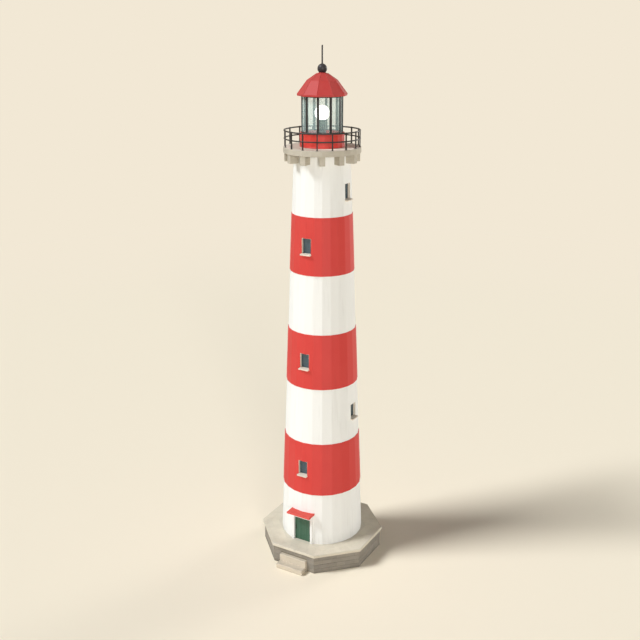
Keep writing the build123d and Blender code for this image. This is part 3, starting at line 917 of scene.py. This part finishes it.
@dataclass
class Entrance:
    """Boarded door in a rendered portal under a red hood."""

    boards: int = 10
    groove: float = 4 * MM
    board: Block = Block(14 * MM, 5 * MM, 0.95, 2)
    clear_side: float = 14 * MM     # boards to the jambs
    clear_top: float = 12 * MM
    ledge_height: float = 0.12
    ledge: Block = Block(24 * MM, 5 * MM, 0.96, 3)
    plate: Block = Block(4 * MM, 1.5 * MM, 0.95, 1)
    plate_size: tuple[float, float] = (0.07, 0.432)     # width and height
    nail: Fastener = Fastener(Head.NAIL, 7 * MM, 4 * MM)
    nail_row: float = 0.3           # from a ledge's middle, as a share of its height

    def build(self) -> None:
        """Make the boards, ledges, nails and lock plate, then dress the CAD pieces."""
        self.boarding()
        self.ledges()
        self.nails()
        self.lock_plate()
        GREEN_PAINT.dress("door_leaf")
        BLACK_IRON.dress("door_straps", "door_handle", "hinge_pintles")
        WHITE_RENDER.dress("portal_jambs", "portal_lintel")
        HOOD_PAINT.dress("entrance_hood")

    def reveal(self) -> tuple[Vector, Vector]:
        """Outline of the boards on the leaf's outer face.

        Returns:
            Its lowest and highest corner.
        """
        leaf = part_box("door_leaf")[0]
        jambs = solids("portal_jambs")
        left = min(box[1].x for box in jambs) + self.clear_side
        right = max(box[0].x for box in jambs) - self.clear_side
        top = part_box("portal_lintel")[0].z - self.clear_top
        return Vector((left, leaf.y, leaf.z)), Vector((right, leaf.y, top))

    def boarding(self) -> None:
        """Upright boards with V joints on the outside."""
        low, high = self.reveal()
        width = (high.x - low.x) / self.boards
        starts = [low.x + k * width + self.groove / 2 for k in range(self.boards)]
        faces = [(upright(x, x + width - self.groove, low.y, low.z, high.z), FRONT) for x in starts]
        self.board.lay("door_boards", faces, GREEN_PAINT, DOOR)

    def ledge_heights(self) -> list[float]:
        """Height of each ledge's middle: between the straps."""
        mids = [(low.z + high.z) / 2 for low, high in solids("door_straps")]
        return [(a + b) / 2 for a, b in zip(mids, mids[1:])]

    def ledges(self) -> None:
        """Level ledges across the inner face."""
        low, high = self.reveal()
        back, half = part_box("door_leaf")[1].y, self.ledge_height / 2
        faces = [(upright(low.x, high.x, back, z - half, z + half), -FRONT) for z in self.ledge_heights()]
        self.ledge.lay("door_ledges", faces, GREEN_PAINT, DOOR)

    def nails(self) -> None:
        """Two rows of clenched nails through each ledge, one nail to a board."""
        low, high = self.reveal()
        width = (high.x - low.x) / self.boards
        lines = []
        for z in self.ledge_heights():
            for row in (-self.nail_row, self.nail_row):
                ends = [Vector((x, low.y - self.board.proud, z + row * self.ledge_height))
                        for x in (low.x + width / 2, high.x - width / 2)]
                lines.append((ends, FRONT))
        replace(self.nail, pitch=width * PITCH_EASE).along("door_nails", lines, BLACK_IRON, DOOR)

    def lock_plate(self) -> None:
        """Iron plate behind the pull."""
        low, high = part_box("door_handle")
        front = self.reveal()[0].y - self.board.proud
        middle, (width, height) = (low + high) / 2, self.plate_size
        outline = upright(middle.x - width / 2, middle.x + width / 2, front, middle.z - height / 2,
                          middle.z + height / 2)
        self.plate.lay("door_plate", [(outline, FRONT)], BLACK_IRON, DOOR)


@dataclass
class Windows:
    """Fixed sashes with glazing bars in limestone linings."""

    uprights: int = 1
    rails: int = 2
    bar: Bar = Bar(24 * MM, 44 * MM)

    def build(self) -> None:
        """Make the bars, then dress the CAD pieces."""
        self.glazing_bars()
        LINING_STONE.dress("window_linings", "window_sills")
        SASH_PAINT.dress("window_sashes")
        WINDOW_GLASS.dress("window_panes")

    def glazing_bars(self) -> None:
        """Bars across every pane."""
        lines = []
        for low, high in solids("window_panes"):
            middle, size = (low + high) / 2, high - low
            out, along = Vector((0, math.copysign(1, middle.y), 0)), Vector((1, 0, 0))
            if size.x < size.y:
                out, along = Vector((math.copysign(1, middle.x), 0, 0)), Vector((0, 1, 0))
            side, up = along * max(size.x, size.y) / 2, UP * size.z / 2
            for count, across, reach in ((self.uprights, side, up), (self.rails, up, side)):
                for k in range(count):
                    place = middle + across * (2 * (k + 1) / (count + 1) - 1)
                    lines.append(([place - reach, place + reach], out))
        self.bar.run("window_bars", lines, SASH_PAINT)


@dataclass
class Gallery:
    """Stone gallery on corbels, with an iron railing bolted down."""

    foot: float = 18 * MM           # thickness of a post's foot plate
    foot_bolt: Fastener = Fastener(Head.HEX_BOLT, 13 * MM, 11 * MM)
    bolt_across: float = 0.052      # bolts either side of a post, along the rim
    bolt_rows: tuple[float, float] = (-0.052, 0.039)        # inside and outside a post
    collar: Bar = Bar(0.128, sides=10)
    collar_length: float = 0.09
    rails: dict[str, float] = field(default_factory=lambda: {"top_rail": 0.105, "mid_rail": 0.095})
    rail_sides: int = 16
    rail_crease: float = 60.0
    ring_steps: int = 96

    def build(self) -> None:
        """Make the bolts, collars and round rails, then dress the CAD pieces."""
        posts = sorted(bearings("railing_posts"))
        self.bolts(posts)
        self.collars(posts)
        for name, thickness in self.rails.items():
            self.ring(name, thickness)
        GALLERY_STONE.dress("gallery_deck", "gallery_corbels")
        BLACK_IRON.dress("railing_posts")

    def ring(self, name: str, thickness: float) -> None:
        """Round bar bent to a ring, at the CAD ring's middle, which it stands for.

        Args:
            name: The rail's name.
            thickness: Diameter of the bar.
        """
        axis, middle = hoop("railing_" + name)
        turns = [math.radians(360 * k / self.rail_sides) for k in range(self.rail_sides)]
        section = [(axis + thickness / 2 * math.cos(turn), middle + thickness / 2 * math.sin(turn))
                   for turn in turns]
        piece = lathe("round_" + name, section, self.ring_steps, BLACK_IRON, self.rail_crease)
        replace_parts(piece, "railing_" + name)

    def bolts(self, posts: list[float]) -> None:
        """Hexagon bolts in the four corners of every post's foot.

        Args:
            posts: Angle of each post.
        """
        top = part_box("railing_posts")[0].z + self.foot
        axis = hoop("railing_top_rail")[0]
        lines = []
        for angle in posts:
            turn = Matrix.Rotation(math.radians(angle), 4, "Z")
            for row in self.bolt_rows:
                ends = [turn @ Vector((axis + row, s * self.bolt_across, top)) for s in (-1, 1)]
                lines.append((ends, UP))
        pair = replace(self.foot_bolt, pitch=2 * self.bolt_across * PITCH_EASE)
        pair.along("railing_bolts", lines, BLACK_IRON)

    def collars(self, posts: list[float]) -> None:
        """Round collars where the rails pass the posts.

        Args:
            posts: Angle of each post.
        """
        axis = hoop("railing_top_rail")[0]
        lines = []
        for angle in posts:
            reach = radial(angle)[1] * self.collar_length / 2
            for name in self.rails:
                centre = polar(axis, angle, hoop("railing_" + name)[1])
                lines.append(([centre - reach, centre + reach], UP))
        self.collar.run("railing_collars", lines, BLACK_IRON)


@dataclass
class Lantern:
    """Plated drum and ten-sided glazing."""

    drum_sides: int = 20
    strap: Bar = Bar(0.09, 14 * MM)         # at the drum's top and foot, half its thickness showing
    strap_inset: float = 4 * MM
    rivet: Fastener = Fastener(Head.RIVET, 13 * MM, 9 * MM, 0.085)
    rivet_reach: float = 0.42       # half a row of rivets, as a share of a plate's width
    seam_turn: float = 0.028        # from a seam to its rivets, in radians
    seam_clear: float = 0.05        # from a strap to the first rivet of a seam
    glazing_bolt: Fastener = Fastener(Head.HEX_BOLT, 11 * MM, 9 * MM, 0.30)
    bolt_inset: float = 0.12        # from a mullion's ends
    ring: Bar = Bar(0.07, 0.05)
    ring_out: float = 22 * MM       # from the panes' middle
    casing: Bar = Bar(0.146, 0.098)         # behind a mullion's flange
    casing_clear: float = 1 * MM    # from a mullion's ends
    flange: float = 32 * MM

    def build(self) -> None:
        """Make straps, rivets, casings, glazing rings and bolts, then dress the CAD pieces."""
        self.straps()
        self.rivets()
        self.casings()
        self.glazing_rings()
        self.glazing_bolts()
        DRUM_ENAMEL.dress("lantern_drum")
        BLACK_IRON.dress("lantern_mullions")
        STORM_GLASS.dress("lantern_panes")

    def straps(self) -> None:
        """Level straps at the drum's top and foot."""
        low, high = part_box("lantern_drum")
        inset = self.strap.width / 2 + self.strap_inset
        angles = [360 * k / self.drum_sides for k in range(self.drum_sides + 1)]
        lines = [([polar(high.x, a, z) for a in angles], [polar(1, a, 0) for a in angles])
                 for z in (low.z + inset, high.z - inset)]
        self.strap.run("drum_straps", lines, DRUM_ENAMEL)

    def rivets(self) -> None:
        """Rivets along both straps and in pairs of rows at every second corner, under the mullions."""
        low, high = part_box("lantern_drum")
        face = high.x * math.cos(math.pi / self.drum_sides)
        turn = math.radians(360 / self.drum_sides * self.rivet_reach)
        lines = []
        radius = (face + self.strap.thickness / 2) / math.cos(turn)
        for z in (low.z + self.strap.width / 2, high.z - self.strap.width / 2):
            for k in range(self.drum_sides):
                mid = 360 * (k + 0.5) / self.drum_sides
                ends = [polar(radius, mid + s * math.degrees(turn), z) for s in (-1, 1)]
                lines.append((ends, polar(1, mid, 0)))
        turn = math.radians(180 / self.drum_sides) - self.seam_turn
        clear = self.strap.width + self.seam_clear
        for seam in range(0, self.drum_sides, 2):
            for side in (-1, 1):
                mid = 360 * seam / self.drum_sides + side * 180 / self.drum_sides
                ends = [polar(face / math.cos(turn), mid - side * math.degrees(turn), z)
                        for z in (low.z + clear, high.z - clear)]
                lines.append((ends, polar(1, mid, 0)))
        self.rivet.along("drum_rivets", lines, DRUM_ENAMEL)

    def up_mullions(self, inwards: float, inset: float) -> list[Line]:
        """Lines up every mullion, that look outwards.

        Args:
            inwards: Distance from the mullions' outer face.
            inset: Distance from their ends.

        Returns:
            The lines.
        """
        low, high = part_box("lantern_mullions")
        return [([polar(high.x - inwards, angle, z) for z in (low.z + inset, high.z - inset)],
                 polar(1, angle, 0)) for angle in bearings("lantern_mullions")]

    def casings(self) -> None:
        """Square casings behind the mullions' flanges, over the edges of the panes."""
        lines = self.up_mullions(self.flange + self.casing.thickness / 2, self.casing_clear)
        self.casing.run("mullion_casings", lines, BLACK_IRON)

    def glazing_rings(self) -> None:
        """Iron sill and head that the panes stand in."""
        panes = solids("lantern_panes")
        low, high = panes[0]
        face = max(((a + b) / 2).xy.length for a, b in panes) + self.ring_out
        corner = face / math.cos(math.pi / len(panes))
        angles = [a - 180 / len(panes) for a in sorted(bearings("lantern_panes"))]
        angles.append(angles[0] + 360)
        lines = [([polar(corner, a, z) for a in angles], [polar(1, a, 0) for a in angles])
                 for z in (low.z + self.ring.width / 2, high.z - self.ring.width / 2)]
        self.ring.run("glazing_rings", lines, BLACK_IRON)

    def glazing_bolts(self) -> None:
        """Bolts down the face of every mullion."""
        self.glazing_bolt.along("glazing_bolts", self.up_mullions(0.0, self.bolt_inset), BLACK_IRON)


@dataclass
class Roof:
    """Ten-sided plate roof with rolled hips, a spun ball and a rod."""

    sides: int = 10
    knee_radius: float = 1.080
    knee_rise: float = 0.928
    fascia: float = 0.115
    roll: Bar = Bar(0.032, sides=10)
    rivet: Fastener = Fastener(Head.RIVET, 11 * MM, 7 * MM, 0.11)
    rivet_inset: float = 0.055      # from a hip
    rivet_clear: float = 0.05       # from a plate's ends
    crown_radius: float = 0.395
    collar: Profile = ((0.0, -0.01), (0.30, -0.01), (0.30, 0.02), (0.28, 0.035), (0.26, 0.04),
                       (0.24, 0.055), (0.0, 0.055))         # on the crown
    collar_sides: int = 48
    ball_rise: float = 0.310        # the CAD ball's lowest point to its centre
    ball_sides: int = 48
    ball_rings: int = 24
    socket: Profile = ((0.0, -0.02), (0.080, -0.02), (0.080, 0.006), (0.066, 0.012), (0.064, 0.036),
                       (0.058, 0.042), (0.0, 0.042))        # on the ball
    socket_sides: int = 32
    rod_radius: float = 0.055
    rod_sides: int = 24
    rod_point: float = 0.05         # length of the rod's blunt point
    rod_tip: float = 4 * MM         # height of the last slope

    def build(self) -> None:
        """Make the hip rolls, rivets and turned pieces, then dress the CAD roof."""
        self.hip_rolls()
        self.rivets()
        crown, ball_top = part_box("lantern_roof")[1].z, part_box("roof_ball")[1].z
        lathe("crown_collar", raised(self.collar, crown), self.collar_sides, ROOF_ENAMEL)
        self.ball()
        lathe("rod_socket", raised(self.socket, ball_top), self.socket_sides, BLACK_IRON)
        self.rod()
        ROOF_ENAMEL.dress("lantern_roof")

    def knots(self) -> list[tuple[float, float]]:
        """Radius and height of the eave, the knee and the crown."""
        low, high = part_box("lantern_roof")
        eave = low.z + self.fascia
        return [(high.x, eave), (self.knee_radius, eave + self.knee_rise), (self.crown_radius, high.z)]

    def hip_rolls(self) -> None:
        """Round rolls down every hip."""
        angles = [360 * k / self.sides for k in range(self.sides)]
        lines = [([polar(r, a, z) for r, z in self.knots()], polar(1, a + 90, 0)) for a in angles]
        self.roll.run("roof_hip_rolls", lines, ROOF_ENAMEL)

    def rivets(self) -> None:
        """Rivets along the plate edges, both sides of every hip."""
        lines = []
        half = math.radians(180 / self.sides)
        knots = self.knots()
        for k in range(self.sides):
            out, along = radial(360 * (k + 0.5) / self.sides)
            for (r0, z0), (r1, z1) in zip(knots, knots[1:]):
                facing = (out * (z1 - z0) + UP * (r0 - r1) * math.cos(half)).normalized()
                for side in (-1, 1):
                    ends = [out * r * math.cos(half) + UP * z
                            + along * side * (r * math.sin(half) - self.rivet_inset)
                            for r, z in ((r0, z0), (r1, z1))]
                    reach = (ends[1] - ends[0]).normalized() * self.rivet_clear
                    lines.append(([ends[0] + reach, ends[1] - reach], facing))
        self.rivet.along("roof_rivets", lines, ROOF_ENAMEL)

    def ball(self) -> None:
        """Smooth spun ball, which stands for the CAD's."""
        low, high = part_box("roof_ball")
        radius, middle = high.x, low.z + self.ball_rise
        profile = [(0.0, middle - radius)] + arc(radius, middle, -math.pi / 2, self.ball_rings)[1:]
        profile.append((0.0, middle + radius))
        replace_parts(lathe("smooth_ball", profile, self.ball_sides, BALL_IRON), "roof_ball")

    def rod(self) -> None:
        """Round rod with a blunt point, which stands for the CAD's."""
        low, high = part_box("lightning_rod")
        radius = self.rod_radius
        profile = [(0.0, low.z), (radius, low.z), (radius, high.z - self.rod_point),
                   (radius / 2, high.z - self.rod_tip), (0.0, high.z)]
        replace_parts(lathe("round_rod", profile, self.rod_sides, BLACK_IRON), "lightning_rod")


@dataclass
class Lamp:
    """Lit opal globe on a pedestal."""

    globe_sides: int = 64
    globe_rings: int = 32
    globe_crease: float = 60.0
    neck: float = 0.27              # radius of the globe's open neck
    glass: float = 22 * MM          # thickness of the globe's wall
    collar: Profile = ((0.265, -0.16), (0.285, -0.15), (0.285, -0.12), (0.300, -0.10), (0.300, -0.03),
                       (0.292, -0.01), (0.265, -0.005))     # under the pedestal's top
    collar_sides: int = 48

    def build(self) -> None:
        """Make the smooth globe and the collar, then dress the pedestal."""
        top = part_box("lamp_pedestal")[1].z
        self.globe(top)
        lathe("lamp_collar", raised(self.collar, top), self.collar_sides, GREY_ENAMEL)
        GREY_ENAMEL.dress("lamp_pedestal")

    def globe(self, foot: float) -> None:
        """Smooth globe, open at its neck, with its real wall, which stands for the CAD's.

        Args:
            foot: Height of the neck.
        """
        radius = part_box("lamp_globe")[1].x
        middle = foot + math.sqrt(radius ** 2 - self.neck ** 2)
        start = math.asin((foot - middle) / radius)
        outer = arc(radius, middle, start, self.globe_rings)
        inner = arc(radius - self.glass, middle, start, self.globe_rings)
        profile = [(0.0, middle + radius - self.glass)] + inner[::-1] + outer + [(0.0, middle + radius)]
        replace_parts(lathe("smooth_globe", profile, self.globe_sides, OPAL, self.globe_crease), "lamp_globe")


# ------------------------------------------------------------------ studio
@dataclass(frozen=True)
class Lighting:
    """One far lamp: where its light comes from, in degrees, how strong and how wide it is."""

    azimuth: float
    elevation: float
    strength: float
    softness: float
    colour: str


@dataclass
class Studio:
    """Pale floor, soft light and the camera."""

    floor_colour: str = "#FEF1D8"
    floor_radius: float = 900.0
    floor_steps: int = 96
    floor_drop: float = 2 * MM      # under the object, so that the two don't fight
    fade: tuple[float, float] = (55.0, 120.0)       # where the floor turns to the backdrop's colour
    lamps: dict[str, Lighting] = field(default_factory=lambda: {
        "key_lamp": Lighting(-138.0, 47.0, 3.06, 18.0, "#F4F9FF"),
        "fill_lamp": Lighting(-50.0, 8.0, 1.60, 16.0, "#FAFAFA"),
        "rim_lamp": Lighting(68.0, 9.0, 1.50, 20.0, "#FAFAFA")})
    ambient: float = 0.11
    ambient_colour: str = "#F4F6FC"
    eye: tuple[float, float, float] = (31.89, -55.55, 40.32)
    heading: float = 120.0
    pitch: float = -18.27
    lens: float = 50.0
    sensor: float = 36.0
    sight: float = 1000.0           # as far as the camera sees

    def build(self) -> None:
        """Make the floor, the lamps, the world and the camera."""
        self.floor()
        for name, light in self.lamps.items():
            self.lamp(name, light)
        self.world()
        self.camera()

    def place(self, name: str, data: bpy.types.ID, look: tuple[float, float], axis: str) -> Piece:
        """Turn a lamp or the camera and link it to the scene.

        Args:
            name: Name of the object.
            data: The lamp or camera.
            look: Azimuth and elevation in degrees of the direction that its axis takes.
            axis: The object's own axis for that direction.

        Returns:
            The object.
        """
        turn, tilt = (math.radians(angle) for angle in look)
        towards = Vector((math.cos(turn) * math.cos(tilt), math.sin(turn) * math.cos(tilt), math.sin(tilt)))
        obj = bpy.data.objects.new(name, data)
        obj.rotation_euler = towards.to_track_quat(axis, "Y").to_euler()
        bpy.context.scene.collection.objects.link(obj)
        return obj

    def floor(self) -> None:
        """Round floor that runs out into the backdrop's colour."""
        work = bmesh.new()
        bmesh.ops.create_circle(work, cap_ends=True, segments=self.floor_steps, radius=self.floor_radius)
        bmesh.ops.translate(work, verts=work.verts, vec=(0, 0, -self.floor_drop))
        mesh = bpy.data.meshes.new("studio_floor")
        work.to_mesh(mesh)
        work.free()
        mesh.materials.append(self.paper())
        new_object("studio_floor", mesh)

    def paper(self) -> bpy.types.Material:
        """Matt paper that far away turns to the backdrop's own colour, to the eye and in gloss and glass.

        Returns:
            The material.
        """
        made = bpy.data.materials.new("matt studio paper")
        made.use_nodes = True
        made.node_tree.nodes.clear()
        add = partial(add_node, made.node_tree)
        away = add("ShaderNodeVectorMath", add("ShaderNodeTexCoord").outputs["Object"], operation="LENGTH")
        far = add("ShaderNodeMapRange", Value=away, From_Min=self.fade[0], From_Max=self.fade[1],
                  interpolation_type="SMOOTHSTEP")
        seen = add("ShaderNodeMath", far, self.looking(add), operation="MULTIPLY")
        matt = add("ShaderNodeBsdfDiffuse", Color=linear(self.floor_colour))
        glow = add("ShaderNodeEmission", Color=linear(BACKDROP))
        add("ShaderNodeOutputMaterial", add("ShaderNodeMixShader", seen, matt, glow))
        return made

    def looking(self, add: Adder) -> Node:
        """One for the camera, in gloss and through glass; nought for the light on the object.

        Args:
            add: Adds a node to the material or world.

        Returns:
            The node that gives the number.
        """
        path = add("ShaderNodeLightPath").outputs
        either = add("ShaderNodeMath", path["Is Camera Ray"], path["Is Glossy Ray"], operation="MAXIMUM")
        return add("ShaderNodeMath", either, path["Is Transmission Ray"], operation="MAXIMUM")

    def lamp(self, name: str, light: Lighting) -> None:
        """Make one far lamp.

        Args:
            name: Name of the lamp.
            light: What it gives.
        """
        data = bpy.data.lights.new(name, "SUN")
        data.energy = light.strength
        data.angle = math.radians(light.softness)
        data.color = linear(light.colour)[:3]
        self.place(name, data, (light.azimuth, light.elevation), "Z")

    def world(self) -> None:
        """Even pale light all round; the camera, gloss and glass see the backdrop's colour."""
        world = bpy.data.worlds.new("studio")
        bpy.context.scene.world = world
        world.use_nodes = True
        world.node_tree.nodes.clear()
        add = partial(add_node, world.node_tree)
        light = add("ShaderNodeBackground", Color=linear(self.ambient_colour), Strength=self.ambient)
        paper = add("ShaderNodeBackground", Color=linear(BACKDROP), Strength=1.0)
        add("ShaderNodeOutputWorld", add("ShaderNodeMixShader", self.looking(add), light, paper))

    def camera(self) -> None:
        """Camera above and to the right of the door, looking slightly down."""
        data = bpy.data.cameras.new("camera")
        data.lens, data.sensor_width, data.clip_end = self.lens, self.sensor, self.sight
        camera = self.place("camera", data, (self.heading, self.pitch), "-Z")
        camera.location = self.eye
        bpy.context.scene.camera = camera


def main() -> None:
    """Build every sub-assembly in order."""
    logging.basicConfig(level=logging.INFO, format="%(name)s %(message)s")
    bpy.context.scene.view_settings.view_transform = "Standard"
    for part in (Studio(), StoneBase(), Shaft(), Entrance(), Windows(), Gallery(), Lantern(), Roof(), Lamp()):
        LOG.info("building %s", type(part).__name__)
        part.build()
    bpy.context.view_layer.update()


if __name__ == "__main__":
    main()
